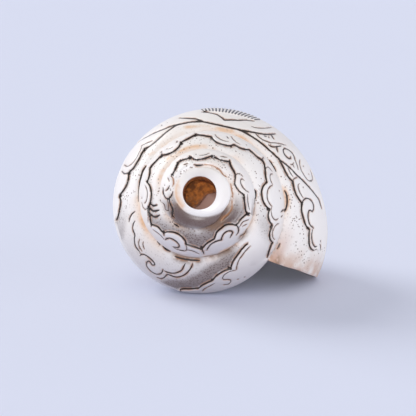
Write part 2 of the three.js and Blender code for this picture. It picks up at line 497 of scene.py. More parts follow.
# Carved lines by kind, as paths of pixels in the photograph: width in pixels, darkness, paths.
carving = {
    "cloudEdge": (1.65, 1.0, (
        "172,216 172.7,210 171.2,206 169.8,202 169.3,198.5",
        "171.3,176 174,171.5 176,167.5 178,162.5 182,160 187,158.5 190,157.3 195,159.5 200,159.2 "
        "205,158.2 "
        "212,156 215,157.2 220,159.5 225,161 229,161.8 231.5,167 235,174 235,183 237,188 240,192 244,195 "
        "244,200 245,206 246,212 249.5,214.5",
        "249.5,214.5 247,214 243,217 240,220 238,223 236,225 233,224 229,224 225,225 221,228 218,230.5 "
        "216,233 "
        "214,238.5 211,240.5 207,243 204,246 201.5,249",
        "201.5,249 199,248.5 195,247 190,245.5 186.5,244.5 185.5,241 182,236.8 178.5,234 174.5,232.3 "
        "170,231.5 "
        "166,231.8 163.5,233",
        "163.5,233 161.5,231 158,227 154,225 151,224 150,219 149.5,215 148.5,211 148,208",
        "148,208 149.5,205 150.5,201 151.3,196 151,190 149.5,185 147,181.5",
        "147,181.5 148.5,178 149.8,173 150,168 151.5,165.5 155,161.8 158,158.5 161.5,155.3",
        "161.5,155.3 163.5,155.1 167,154.2 171,152.7 175,150.3 178,147.8 180,145 181,142",
        "181,142 184,140.5 188,138.5 192,136.3 195.5,134.7 200,134.8 205,135.6 211,136.8 212.5,139 "
        "216,142 "
        "220,143.7 225,145 230,145.9 234,144.8 236,145.6 240,147.8 245,149.3 249,149.8 251,151 254,153.5 "
        "258,157.2 262,160 264,163 265,168 265.3,173 266,178 267,182",
        "267,182 264.5,184 262.5,187.5 261.3,192 262,198 263.8,203 266.5,207 269.5,209.5",
        "269.5,209.5 268.5,213 268.2,217 269.5,221.5 272,225.5 271,229 270,232 269.5,236 270.3,240 "
        "272.5,243",
        "272.5,243 271,246 269.5,250 268.3,254 267.5,257.5",
        "248,243 245,245.5 241,250 237,255.5 233,261 231,266 230.5,269",
        "230.5,269 226,270 221,272.5 216,276 213,279.5 211,281 207,282.8 202,285.3 198.5,288.2",
        "198.5,288.2 190,289 183,289 180,289.5",
        "116,220.5 117,219 118.5,214 119.8,207 120.5,200 119.5,196 122.5,191.5 125.5,187 127.5,182 "
        "128.7,176 "
        "129,172.5 133,168.5 136,164 139.5,158 142,153 144.5,149",
        "278.5,159 281.5,164 283.5,168 286,173 289,178 292.5,181.5 293.5,186 295,192 297.5,197 "
        "300.5,201.5 "
        "302.3,203 301.5,207 301.8,212 303,217 304.5,222 306.5,226.5 309.5,229.5",
        "309.5,229.5 309,235 309,240 309.3,245 311,249 314,250.8 317,250",
    )),
    "border": (1.85, 1.0, (
        "144.5,149 150,145.3 155,141.5 160,137 165,132.5 170,128.8 174,126 178,124.2 184,122.8 190,121.6 "
        "196,121.3 203,121.2 208,122.2 214,123.5 220,124.8 226,126.2 232,127.5 238,128.9 243,131 "
        "249,134.3 "
        "254,137.3 260,141.5 265,145.5 270,150 275,154.5 279,158.8 283,161.5 288,165.5 293,169.8",
        "293,169.8 296,173.5 301,178 306,183 311,188.5 315.5,194 319,199 320.5,203 322,208",
        "241,129.5 249,131 255,132 260,133 266,133.8 272,133.7 275.5,133.3",
        "179.5,117.5 184,117.6 190,118 195,118.3 199,119.2 204,121.3",
        "202,111.5 206,111.8 210,112.3 214,113.3 217,114 220,115.8 223,118 225,119.5 231,119.5 240,119.7 "
        "246,119.6 254,120.5",
        "176,124 170,126 164,128.5 158,130.8 152,133.5 147,136.2 142,139 138,142 134,146 132,149",
    )),
    "seamDash": (1.9, 1.0, (
        "145.7,166 142.5,171 141,176 139.8,182 139,188 138.6,195 138.6,201",
        "269.5,160.5 272,164 274,167.5 276,171",
        "285,191 286.5,194 287.3,198 287.3,203 286.3,208 285.3,210 283.5,210.3 281.5,212",
        "280,244 278.8,246.5 277.5,248.5",
        "194.5,164.5 197.5,165.7 203,165", "174,224 178,226.5", "247,229.5 244.5,234 241,236",
        "163,246.8 166,249.5 169.5,251.3", "157.5,241.5 159.5,244.5",
        "175,256.5 181,258.5 190,260 199,260.5",
        "254.5,189.5 256,192 255.5,198 255,203.5", "271.5,252.5 271.5,253.5",
    )),
    "curl": (1.5, 0.95, (
        "192.5,264 191,268 188,272 184,275.5 178,277.5 174,277.2 170,275.8 167,274.8 165.5,276.3 "
        "163.5,278.3 "
        "160.5,279 157,278",
        "132,228 133,231.5 134.3,235 133.8,239 134.3,244 136,248 139.5,252.5",
        "139.5,256 141,254.5 144,255 147.5,257 151,260 153.5,262.8 154.5,264.8 153.3,265.5 151.5,265 "
        "150.3,263 "
        "148.8,261.5 147,262 146,264 146.3,266.3 148,269 151,272 154.5,274 157.5,274.7 160.5,274 162,272 "
        "162.8,269.5",
        "164.5,271.5 168,273 173,273.7 177.5,272.8 181.5,270.5 183.5,267 185,264",
        "134.5,211.5 132,213.5 130.3,216 129,219 128.6,221.5", "134.5,221.2 133,223.5 132,228",
        "164.8,240.5 166.5,239 169.5,238.7 173,240 176,242 178.5,245 179,247 177.5,248.3 175,247.8 "
        "173,247.3",
        "207,250.5 208.5,248 211,245 215,242.5 219,241 221.5,240.5 222,238 223.5,235 226,232.5 229,231.3 "
        "232,231.5 233,233 232,235 230.5,238",
        "169,186 167.5,188.8 165.5,190.5",
        "162.5,188 162.8,193 164.5,197 166.5,198.7 168.8,198.5 171,196 172.5,192",
        "129,172.5 126,173.2 123.5,173.3 121.3,171", "236,225 238,227 239,230 238.5,233 237,235",
        "302.5,203 304,200 306.5,198.3 309.5,198.7 312.5,201.5 314,205 314,209 312.7,211.5 311,210 "
        "309.3,211 "
        "308.5,215 309,220 310.5,224.5 314,228",
        "313,230 312.2,235 312.5,240 313.5,244 315.5,247 317.5,246.2",
        "269.5,145 272,146.2 275,146.5 281.5,145.5", "277.3,146.5 277.3,149 278,151.5",
        "295,159 294.8,157 293.5,154 291,151 288,149 285,148 283.7,149.5 284,152 285.5,154.8 287.5,157 "
        "289.5,158.3 291,158 291.2,156.3",
        "201.5,249 203,252 203.8,254.5", "151,224 150.5,227", "195.5,134.5 195.2,132",
        "190,157 189.5,155",
        "212,156 211.5,155", "229.5,161.5 230,159.5", "262.5,159 264,157", "161.5,154.5 161,151",
        "163.5,233 163.7,236", "174,218 172,215.5", "180,289.5 180.5,291.5 182,293",
    )),
    "fine": (1.0, 0.85, (
        "235,175 238,173.5 241,174 243,176",
        "244.5,180 243,178.8 241.5,179 241,181 241.5,184 243.5,187.5 246,190 249,192",
        "248,195 248.2,200 249,205 250,209.5", "240,227 243,222.5 246,221 249,220",
        "243,226.5 246,225 247,224.8",
        "186,245 186.5,248 186.5,250.5 184,251.5 180,251", "187,250.5 191,251 195,252.5 199,254.5",
        "203,257 208,256.3 213,255.7", "250.5,246.5 247,250 243,255 239.5,260 237.5,265 236.5,270",
        "236,270.5 232,271.5 228,273 224.5,275.5 222.5,278.5 224,280 228,279.8 231,280.5 231,282.5 "
        "228,284.8 "
        "224,285",
        "214.5,284 210,286.5 205,289 202.5,291.5",
        "144.5,185.5 146,188.5 146.8,193 146.5,198 145.3,202 144,203",
        "141.5,203 142.5,207 144.5,209.5 147.5,208.5", "147,210 147.5,216 147.5,222.5",
        "167,200 168,205 168.3,210.5", "160,200 161.5,202.5 164,205 164.8,210 168,210.8",
        "139.3,239.5 138.3,243 139,247 141.5,251", "143,242 142.5,245 144,249",
        "153,230.2 157,233 161,236.5 163.5,239.5", "174,248.5 177,250 183,250.8",
        "265.5,168 267.5,166.8 269.5,167.5 272.5,171", "273,173.5 271.3,173.8 270.6,176 271,180 273,184",
        "272.8,185.3 270.5,186.5 268.5,189.5 267.6,194 268,199 270,203.5 272.5,206.5",
        "271.8,208 271.8,213 273,217 275,219.5 277,219.8 278.8,218.5",
        "274,230 275.5,226.5 278,224 279.5,224",
        "273.5,229 272.8,233 273,236 274,238.5 275,239.5", "288.5,168 290.5,172 293,176",
        "293.5,181 294.5,178.5 297.5,177.2", "299.8,183.5 298.7,185 298.8,188 300.5,192.5 303.5,197.5",
        "312.8,179 312,180.8 310,180.5", "320,244 321,246 321,250", "167.5,178 168.8,181",
        "215.3,134 217,136.3 220,138.5 224,140.2 228,141", "231.3,136 233,138.5 236,141.5 240,144",
        "200,155 205,154.2 209,153",
        "256,133.5 259,136.5 263,139.3 267,141 271,142.3 276,142.5 281,143.5 286,144.8",
        "294.5,158 296,161 297.5,165 298.5,169", "291,164.3 293,164.3 294,162.5", "293.5,164.5 294.5,167",
        "300.3,159.5 299.8,162 300.5,166 302,170.5 304.5,174.8 307,178.5 309.5,180.6 311.5,180.9 "
        "312.8,179 "
        "312.5,176 311.5,172.5 310.3,169.5",
        "252,126 256,127.2 262,127.8 268,127.5 271.5,127",
        "141.5,145 140.5,149 138,153.5 135.5,158.5 132.5,162.5 129.5,165 126.5,166.2 123.8,164.7",
        "141,145.5 143,144.3 147,142.5 152,140.5", "168,148.5 172,147", "221,156 227,156.8",
    )),
    "brown": (1.2, 0.6, (
        "203,165 208,164.8 213,166 217.5,168.5 221,171.5 223.5,175 227,177",
        "231,184 232,190 233,194 232.8,197",
        "232,200 232,206 231,210 228,214 224,217 221,220.5", "254.5,208 254,213 253,217",
        "171.3,176 173,179 173.5,183 172.5,186", "190,157.3 195,159.5 200,159.2",
    )),
    "bold": (2.2, 1.0, (
        "150.5,204 152.5,205.7 154.5,205.5 156.5,205", "148.5,207.5 152,210.8 155,211 158.5,210.2",
        "149.5,213.5 152.5,216.5 155.5,217 159,215.3",
    )),
    # dark marks at the cusps where scallops meet: cut in, and painted black as the shade in their pockets
    "cusp": (2.9, 1.0, (
        "181,142 181.6,144", "161.5,155.3 160.9,157", "150,167.5 151.5,166", "147,181.5 147.6,182.6",
        "129,172.5 129.3,174", "119.5,196 120.8,196", "144.5,149 144.6,150.5", "178,162.5 177.5,164",
        "190,157.3 190,158.6", "212,156 212.5,157.5", "229.5,161.5 230,163.5", "235,184 236,185.5",
        "244,195 243.6,197", "249.5,214.5 247.5,214.8", "236,225 234.5,224.6", "211,240.5 210,241.5",
        "201.5,249 201.5,247", "186.5,244.5 185.6,243.5", "163.5,233 163.6,231.8", "151,224 151.3,225",
        "195.5,134.7 195.5,136", "211,136.8 211.5,138.5", "230,145.9 231.5,146.3", "250,150 251,151.3",
        "263,160.5 263.8,162.5", "266.5,181.5 266,182.8", "269.5,209.5 268,209", "272,225.5 271,227",
        "272.5,243 271.5,245", "230.5,269 228.5,267.5", "213,279.5 211.5,279.8", "198.5,288.2 197,288.5",
        "292.5,181.5 293,184", "302,203 301.5,205", "308.5,229 307.5,228.5", "277,157 279,158.8",
        "240,129.3 242,130", "203,121.2 205,121.4", "148,207 148.5,209",
    )),
    "dot": (1.6, 0.9, (
        "141.3,198 141.7,198", "158.3,191 158.7,191", "164,185 164.4,185", "258,203 258.3,203",
        "303.5,187 303.8,187", "279.5,190.5 279.8,190.7", "281,198 281.2,198.2", "281.5,217 282.8,216",
        "303.5,166 303.8,166", "309,174 309.2,174", "244.5,277.5 244.8,277.5", "238,279.5 238.3,279.5",
        "161.5,124.5 161.6,125.5", "167.4,122.2 167.7,122.2", "166.4,148.5 166.7,148.5",
        "201.6,131.5 202,131.5",
        "246.3,144.5 246.7,144.5", "196,153.8 196,154.2", "227.3,136 228.5,138",
        "271.4,126.5 271.6,126.5",
        "184.5,164 187,163.2", "170,164 168.5,166.5", "321,241 321,241.4", "176.5,140.5 177,142.5",
        "265,136 266.5,136", "269,136.6 269,137.2", "271.5,135 273,137 274,138.5",
    )),
}


# How a path of pixels becomes a line on the shell.
stroke = {
    "pixelSize": 0.4,  # millimetres at the shell's distance
    "step": 0.3,  # pixels between the points of a line
    "legSteps": 12,
    "cornerTurn": 50,  # degrees; a sharper bend than this stays a corner
    "jump": 2.5,  # millimetres; a wider gap than this starts a new line
    "leastShown": 0.6,
    "taper": (0.55, 0.45),  # width at the ends, and what it gains from there
    "taperLength": 1.2,
}


# A smooth track through the marks of a path, in even steps.
def pathPixels(path):
    marks = np.array([[float(n) for n in pair.split(",")] for pair in path.split()])
    legs = np.diff(marks, axis=0)
    heading = np.degrees(np.arctan2(legs[:, 1], legs[:, 0]))
    bend = np.abs((np.diff(heading) + 180) % 360 - 180)
    corners = [k + 1 for k in range(len(bend)) if bend[k] > stroke["cornerTurn"]]
    stops = [0] + corners + [len(marks) - 1]
    share = np.linspace(0, 1, stroke["legSteps"], endpoint=False)[:, None]
    track = []
    for first, last in zip(stops, stops[1:]):
        run = marks[first:last + 1]
        run = np.concatenate(([2 * run[0] - run[1]], run, [2 * run[-1] - run[-2]]))
        for a, b, c, d in zip(run, run[1:], run[2:], run[3:]):
            track.append(b + 0.5 * share * (c - a + share * (2 * a - 5 * b + 4 * c - d + share * (
                3 * (b - c) + d - a))))
    track = np.concatenate(track + [marks[-1:]])
    steps = runLength(track)
    along = np.linspace(0, steps[-1], max(2, round(steps[-1] / stroke["step"]) + 1))
    return np.stack((np.interp(along, steps, track[:, 0]), np.interp(along, steps, track[:, 1])), -1)


def castPath(tree, path):
    right, up, back = cameraAxes()
    start = cameraPlace() * mm
    found = []
    for x, y in pathPixels(path):
        across = (x - photo["axisPixel"][0]) / photo["focal"]
        below = (y - photo["axisPixel"][1]) / photo["focal"]
        hit = tree.ray_cast(start, (right * across - up * below - back).normalized())
        if hit[0] is not None:
            found.append((np.array(hit[0]) / mm, np.array(hit[1])))
    return found


# A line keeps its points, their run along the surface, their normals, half its width and its darkness.
def addLine(lines, points, normals, half, dark, seen=False):
    points, normals = np.array(points), np.array(normals)
    if len(points) < 2:
        return
    run = headings(points)
    half = np.full(len(points), half)
    if seen:  # a line on a slanting face is cut wider, so that it looks as wide as the rest
        back = np.array(cameraAxes()[2])
        across = np.cross(normals, run)
        shown = np.linalg.norm(across - (across @ back)[:, None] * back, axis=1)
        half = half / np.clip(shown, stroke["leastShown"], 1)
    steps = runLength(points)
    fromEnd = np.minimum(steps, steps[-1] - steps)
    atEnd, gained = stroke["taper"]
    taper = atEnd + gained * ease(fromEnd, 0, stroke["taperLength"])
    for k in range(len(points)):
        lines.append((points[k], run[k], normals[k], half[k] * taper[k], dark))


def headings(points):
    run = np.gradient(points, axis=0)
    run /= np.maximum(np.linalg.norm(run, axis=1), 1e-9)[:, None]
    return run


def photoLines(tree, kinds):
    lines = []
    for kind in kinds:
        width, dark, paths = carving[kind]
        half = width * stroke["pixelSize"] / 2
        for path in paths:
            piece = []
            for point, normal in castPath(tree, path):
                if piece and np.linalg.norm(point - piece[-1][0]) > stroke["jump"]:
                    addLine(lines, *zip(*piece), half, dark, True)
                    piece = []
                piece.append((point, normal))
            if piece:
                addLine(lines, *zip(*piece), half, dark, True)
    return lines


def nearestOf(points):
    tree = kdtree.KDTree(len(points))
    for k, point in enumerate(points):
        tree.insert(point, k)
    tree.balance()
    return tree


def closest(points, spots):
    tree = nearestOf(points)
    found = [tree.find(spot)[1:] for spot in spots]
    return np.array([f[0] for f in found]), np.array([f[1] for f in found])


# Cloud bands on the sides that the photograph does not show, in turns, places and millimetres.
backBand = {
    "rows": ((1.2, 17, 12.5, 3.0), (1.46, 15, 10.8, 2.8)),  # place, scallops, their width and bulge
    "turns": (-0.97, -0.07),
    "midTurn": -0.5,
    "freeTurns": (-0.985, -0.04),
    "freePlace": 1.03,
    "clear": 1.5,  # from the lines at the front
    "thick": 0.34,
    "thin": 0.24,
    "dark": 0.9,
    "fewest": 12,  # points in a line
    "roundness": 2.4,
    "inset": 1.6,
    "innerSize": (0.74, 0.9),
    "curlAt": (0.9, 3.2),
    "curlSize": 2.9,
    "curlShrink": 0.75,
    "curlStart": 2.9,
    "curlTurns": 1.4,
    "tailAt": (-1.9, 3.9),
    "tailRun": (5.2, 2.6, 1.9),
    "rings": (1.76, 1.79),
    "ringTurns": (-0.985, -0.1),
    "ringSteps": 1200,
}


# One scallop between two cusps: its edge, an inner line and, on every other one, a curl with a tail.
def scallopParts(width, bulge, curled):
    x = np.linspace(-0.5, 0.5, 40)
    arc = bulge * (1 - (2 * np.abs(x)) ** backBand["roundness"])
    wide, high = backBand["innerSize"]
    parts = [(x * width, -arc, True), (x * width * wide, backBand["inset"] - arc * high, False)]
    if curled:
        wind = np.linspace(0, 2 * math.pi * backBand["curlTurns"], 60)
        size = backBand["curlSize"] * (1 - backBand["curlShrink"] * wind / wind[-1])
        curlX, curlY = backBand["curlAt"]
        aim = wind + backBand["curlStart"]
        parts.append((curlX + size * np.cos(aim), curlY + size * np.sin(aim), False))
        tail = np.linspace(0, 1, 30)
        tailX, tailY = backBand["tailAt"]
        across, down, lift = backBand["tailRun"]
        parts.append((tailX - across * tail, tailY + down * tail - lift * tail * tail, False))
    return parts


# Only the free stretches of a line are cut.
def drawFree(lines, turn, place, points, free, half):
    normals = surfaceNormal(turn, place)
    start = None
    for k in range(len(free) + 1):
        if k < len(free) and free[k]:
            start = k if start is None else start
        elif start is not None:
            if k - start > backBand["fewest"]:
                addLine(lines, points[start:k], normals[start:k], half, backBand["dark"])
            start = None


def backLines(lines, edges, step=0.01):
    taken = nearestOf([line[0] for line in lines])
    first, last = backBand["turns"]
    middle = backBand["midTurn"]
    freeFrom, freeTo = backBand["freeTurns"]
    for place, count, width, bulge in backBand["rows"]:
        radius = float(outline(middle, place)[0])
        strip = surfacePoint(middle, place + step) - surfacePoint(middle, place - step)
        reach = float(np.linalg.norm(strip) / (2 * step))
        share = (last - first) * 2 * math.pi * radius / count / width
        for k in range(count):
            turn = first + (last - first) * (k + 0.5) / count
            for x, y, edge in scallopParts(width, bulge, k % 2 == 0):
                fine = np.linspace(0, len(x) - 1, len(x) * 3)
                t = turn + np.interp(fine, np.arange(len(x)), x) * share / (2 * math.pi * radius)
                p = place + np.interp(fine, np.arange(len(x)), y) / reach
                points = surfacePoint(t, p)
                free = np.array([taken.find(q)[2] > backBand["clear"] for q in points])
                free &= (t > freeFrom) & (t < freeTo) & (p > backBand["freePlace"])
                drawFree(lines, t, p, points, free, backBand["thick" if edge else "thin"])
                if edge:
                    drawFree(edges, t, p, points, free, backBand["thick"])
    turn = np.linspace(*backBand["ringTurns"], backBand["ringSteps"])
    for place in backBand["rings"]:
        p = np.full(len(turn), place)
        drawFree(lines, turn, p, surfacePoint(turn, p), np.ones(len(turn), bool), backBand["thin"])


# Stains, and one painted shade in a seam recess, as paths of pixels again: how far they spread in
# millimetres, and the paths.
stains = {
    "tanStain": (1.1, (
        "149.5,153.5 158,148 166,144.5", "186,127 200,126.5 215,128 232,131",
        "236,134 244,138 252,144 258,149", "168,158.5 176,152.5 186,148.3 196,146.5 207,146.5 213,148.5",
        "164,168 161,175 160,180", "140,188 139.5,200 140,210", "140,212 142,222 146,232 150,240",
        "205,257 215,254.5 226,250 236,245", "256,205 254,216 249,227 243,235", "284,188 288,199 287,212",
        "176,205 180,210 186,213", "223,217 229,214 232,209", "176,256 184,259 192,260 199,260.5",
        "170,217 176,225 182,229", "178,181 175.5,190 177,199 182,206",
    )),
    "darkStainAndShade": (1.5, (
        "176,257.5 182,259.5 190,260.5 198,261", "241,236.5 246,233.5", "208,257.5 213,256",
        # the last path on the next line is painted shade in the seam recess low at the right
        "212,229 218,226 223,221", "276.5,258 277.5,263", "211,257 219,254.5 228,250.5",
    )),
}


def stainAt(tree, kind, spots):
    reach, paths = stains[kind]
    marks = [point for path in paths for point, _ in castPath(tree, path)]
    return np.exp(-(closest(marks, spots)[1] / reach) ** 2)


# Lines are cut in, cloud edges stand up and the ground beside them is lowered, in millimetres.
relief = {
    "groove": 0.3,
    "grooveHalf": 0.6,
    "thickHalf": 0.31,
    "inkReach": 3,
    "inkSlack": 0.08,
    "inkFacing": 0.1,  # a line marks only the spots that face its way
    "noInk": 9.0,
    "cloudRise": 0.75,
    "cloudFade": 2.4,
    "groundDrop": 0.45,
    "groundFade": 2.6,
    "edgeSoft": (-0.25, 0.55),
    "pastEnd": (0.4, 2.5),
    "seamDrop": 0.7,
    "seamWidth": 1.3,
    "seamCalm": (1.5, 2.0),  # below the upper seam, and above the next
    "lipCalm": 0.03,
    "collarAt": (1.65, -0.4),
    "collarSize": (12.05, 10.0),
    "collarDrop": 1.1,
    "collarWidth": 1.5,
    "collarDepth": 32,
    "fineEdge": 0.5,
    "fineReach": 0.32,
    "fineTests": (0.2, 0.4, 0.6, 0.8),
    "unrollTurns": (-3.6, 0.1),
    "farOff": 99.0,
    "onGrown": 0.5,
    "nearGrown": 2.5,
    "onCoil": 0.15,
    "onRim": 0.1,
    "onTip": 0.1,
    "onFan": 0.02,
    "onFloor": 0.02,
    "slopePlaces": (0.02, 0.98),
    "sidePlace": 0.999,
    "crease": 50,  # degrees
}


# For each spot: how far left or right of the nearest line it is, in half widths, how far from the
# line's edge, and the line's darkness.
def inkAt(lines, spots, normals):
    thick = [line for line in lines if line[3] > relief["thickHalf"]]
    thin = [line for line in lines if line[3] <= relief["thickHalf"]]
    first, second = inkOf(thick, spots, normals), inkOf(thin, spots, normals)
    closer = first[1] <= second[1]
    return [np.where(closer, a, b) for a, b in zip(first, second)]


def inkOf(lines, spots, normals):
    index, gap = closest([line[0] for line in lines], spots)
    point, run, normal = [np.array([line[k] for line in lines])[index] for k in (0, 1, 2)]
    half, dark = [np.array([line[k] for line in lines])[index] for k in (3, 4)]
    offset = spots - point
    across = (np.cross(normal, run) * offset).sum(1)
    past = np.maximum(np.abs((run * offset).sum(1)) - relief["inkSlack"], 0)
    held = (gap < relief["inkReach"]) & ((normals * normal).sum(1) > relief["inkFacing"])
    side = np.where(held, np.copysign(np.hypot(across, past), across) / half, relief["noInk"])
    return side, np.where(held, gap - half, relief["noInk"]), np.where(held, dark, 0.0)


# Signed distance from the nearest cloud edge, above zero on the cloud, and how far past the edge's end.
def edgeGap(lines, spots):
    index, gap = closest([line[0] for line in lines], spots)
    point, run, normal = [np.array([line[k] for line in lines])[index] for k in (0, 1, 2)]
    offset = spots - point
    return np.copysign(gap, (np.cross(normal, run) * offset).sum(1)), np.abs((run * offset).sum(1))


# The turn and place of points that lie on the coil, from a first guess.
def settle(points, turn, place, tiny=1e-4, rounds=3):
    for _ in range(rounds):
        miss = points - surfacePoint(turn, place)
        byTurn = (surfacePoint(turn + tiny, place) - surfacePoint(turn - tiny, place)) / (2 * tiny)
        byPlace = (surfacePoint(turn, place + tiny) - surfacePoint(turn, place - tiny)) / (2 * tiny)
        a, b, c = (byTurn * byTurn).sum(-1), (byTurn * byPlace).sum(-1), (byPlace * byPlace).sum(-1)
        d, e = (byTurn * miss).sum(-1), (byPlace * miss).sum(-1)
        turn = turn + (c * d - b * e) / (a * c - b * b)
        place = place + (a * e - b * d) / (a * c - b * b)
    return turn, place


# The spire's ramp laid out flat, in millimetres.
def unrolled(turn, place, steps=900):
    table = np.linspace(*relief["unrollTurns"], steps)
    girth = 2 * math.pi * outline(table, 0.5)[0]
    run = np.concatenate(((0,), np.cumsum(np.diff(table) * (girth[1:] + girth[:-1]) / 2)))
    return np.stack((np.interp(turn, table, run), place * rampReach(turn), 0 * turn), -1)


def rampReach(turn, step=0.02):
    half = np.full(len(turn), 0.5)
    strip = surfacePoint(turn, half + step) - surfacePoint(turn, half - step)
    return np.linalg.norm(strip, axis=1) / (2 * step)


# Long mesh edges beside a line are split, so that the line stays crisp.
def refine(mesh, lines, rounds=2):
    tree = nearestOf([line[0] for line in lines])
    for _ in range(rounds):
        spots = meshSpots(mesh)[0]
        ends = np.empty(len(mesh.edges) * 2, np.int64)
        mesh.edges.foreach_get("vertices", ends)
        ends = ends.reshape(-1, 2)
        size = np.linalg.norm(spots[ends[:, 0]] - spots[ends[:, 1]], axis=1)
        gap = np.array([tree.find(s)[2] for s in spots])[ends].min(axis=1)
        split = (size > relief["fineEdge"]) & (gap < relief["fineReach"])
        unsure = (size > relief["fineEdge"]) & ~split & (gap < relief["fineReach"] + size / 2)
        for k in np.nonzero(unsure)[0]:
            first, last = spots[ends[k]]
            split[k] = any(tree.find(first + (last - first) * share)[2] < relief["fineReach"]
                           for share in relief["fineTests"])
        form = bmesh.new()
        form.from_mesh(mesh)
        form.edges.ensure_lookup_table()
        bmesh.ops.subdivide_edges(form, edges=[form.edges[k] for k in np.nonzero(split)[0]], cuts=1)
        bmesh.ops.triangulate(form, faces=[f for f in form.faces if len(f.verts) > 3])
        form.to_mesh(mesh)
        form.free()
    mesh.update()
    print("refined:", len(mesh.polygons), "faces")


def meshSpots(mesh):
    spots = np.empty(len(mesh.vertices) * 3, np.float64)
    mesh.vertices.foreach_get("co", spots)
    normals = np.empty(len(mesh.vertices) * 3, np.float32)
    mesh.vertex_normals.foreach_get("vector", normals)
    return spots.reshape(-1, 3) / mm, normals.reshape(-1, 3).astype(float)


# Spots on the floor keep their height, and none goes below it.
def moveSpots(mesh, spots, normals, height):
    moved = spots + normals * height[:, None]
    resting = spots[:, 2] < relief["onFloor"]
    moved[:, 2] = np.where(resting, spots[:, 2], np.maximum(moved[:, 2], 0.0))
    mesh.vertices.foreach_set("co", (moved * mm).ravel())
    mesh.update()


def keepLayers(mesh, looks):
    for name, values in looks.items():
        layer = mesh.attributes.new(name, "FLOAT", "POINT")
        layer.data.foreach_set("value", values.astype(np.float32))


# Which part of the shell each spot of the mesh belongs to, and where on the coil it lies.
def sortSpots(spots, grownShell, fanMarks):
    points, turn, place = grownShell
    whose, fromGrown = closest(points, spots)
    spotTurn, spotPlace = turn[whose], place[whose]
    # depth down the axis and radius from it tell the ground rim from the rest
    ends = standing([(0, 0, 0), (0, 0, -1)])
    axis = ends[1] - ends[0]
    depth = (spots - ends[0]) @ axis
    radius = np.linalg.norm(spots - ends[0] - depth[:, None] * axis, axis=1)
    rimRadius, rimDepth = np.array(rimProfile()[2:-1]).T
    onRim = np.abs(depth - np.interp(radius, rimRadius[::-1], rimDepth[::-1])) < relief["onRim"]
    # a spot near the grown points is on the outside if it settles on the coil
    near = np.nonzero(fromGrown < relief["nearGrown"])[0]
    nearTurn, nearPlace = settle(spots[near], spotTurn[near], spotPlace[near])
    settled = np.linalg.norm(spots[near] - surfacePoint(nearTurn, nearPlace), axis=1) < relief["onCoil"]
    atTip = depth > coil["tipDepth"] - relief["onTip"]
    skin = (fromGrown < relief["onGrown"]) | onRim | atTip | (spots[:, 2] < relief["onFloor"])
    skin[near[settled]] = True
    low, high = relief["slopePlaces"]
    onSlope = settled & (spotPlace[near] > low) & (spotPlace[near] < high)
    spotTurn[near[onSlope]] = np.clip(nearTurn[onSlope], grain["firstTurn"], 0)
    spotPlace[near[onSlope]] = np.clip(nearPlace[onSlope], 0, 1)
    own = onOwnAxes(spots)
    ringX, ringY = [(own[:, k] - relief["collarAt"][k]) / relief["collarSize"][k] for k in (0, 1)]
    fromCollar = (np.hypot(ringX, ringY) - 1) * relief["collarSize"][0]
    fanIndex, fromFan = closest(fanMarks[0], spots)
    onFan = fromFan < relief["onFan"]
    onSide = skin & (spotPlace > relief["sidePlace"]) & (spotTurn > -1)
    return {
        "turn": spotTurn,
        "place": spotPlace,
        "depth": depth,
        "radius": radius,
        "own": own,
        "fromCollar": fromCollar,
        "fanGap": np.where(onFan, fanMarks[1][fanIndex], 0),
        "skin": skin,
        "inside": ~skin & ~onFan,
        "onSide": onSide,
        "onRamp": skin & ~onSide & ~(onRim & (fromCollar < 0)),
    }


# How far each spot is from the edge of a cloud, on the ramp laid out flat and on the side below it.
def cloudGaps(at, spots, grownShell, frontEdges, backEdges):
    points, turn, place = grownShell
    edgeSpots = np.array([line[0] for line in frontEdges])
    guess = closest(points, edgeSpots)[0]
    flat = unrolled(*settle(edgeSpots, turn[guess], place[guess]))
    flatRun = headings(flat)
    outward = np.array((0, 0, 1.0 if flatRun[:, 0].mean() > 0 else -1.0))
    flatEdges = [(p, r, outward) for p, r in zip(flat, flatRun)]
    rampGap, rampPast = edgeGap(flatEdges, unrolled(at["turn"], at["place"]))
    sideGap = edgeGap(backEdges, spots)[0]
    return np.where(at["onSide"], sideGap, rampGap), rampPast


# Distance down from the upper seam, and down to the seam with the next whorl.
def seamGaps(at):
    reach = rampReach(at["turn"])
    fromSeam = np.where(at["onSide"], relief["farOff"], at["place"] * reach)
    covered = (at["turn"] < -1) & ~at["onSide"]
    return fromSeam, np.where(covered, (1 - at["place"]) * reach, relief["farOff"])


def cloudHeight(at, gap, past, fromSeam, toSeam):
    carved = at["onRamp"] * (1 - ease(past, *relief["pastEnd"]))
    soft = relief["edgeSoft"]
    rise = relief["cloudRise"] * ease(gap, *soft) * np.exp(-np.maximum(gap, 0) / relief["cloudFade"])
    drop = relief["groundDrop"] * ease(-gap, *soft) * np.exp(-np.maximum(-gap, 0) / relief["groundFade"])
    seamNear = np.minimum(fromSeam, toSeam)
    seam = relief["seamDrop"] * np.exp(-(seamNear / relief["seamWidth"]) ** 2)
    seam = np.where(at["onRamp"], seam, 0)
    below, above = relief["seamCalm"]
    fade = ease(fromSeam, 0, below) * ease(toSeam, 0, above)
    height = ((rise - drop) * fade * carved - seam) * ease(-at["turn"], 0.0, relief["lipCalm"])
    collar = relief["collarDrop"] * np.exp(-(at["fromCollar"] / relief["collarWidth"]) ** 2)
    height -= np.where(at["skin"] & (at["depth"] < relief["collarDepth"]), collar, 0)
    height[~at["skin"]] = 0
    return height
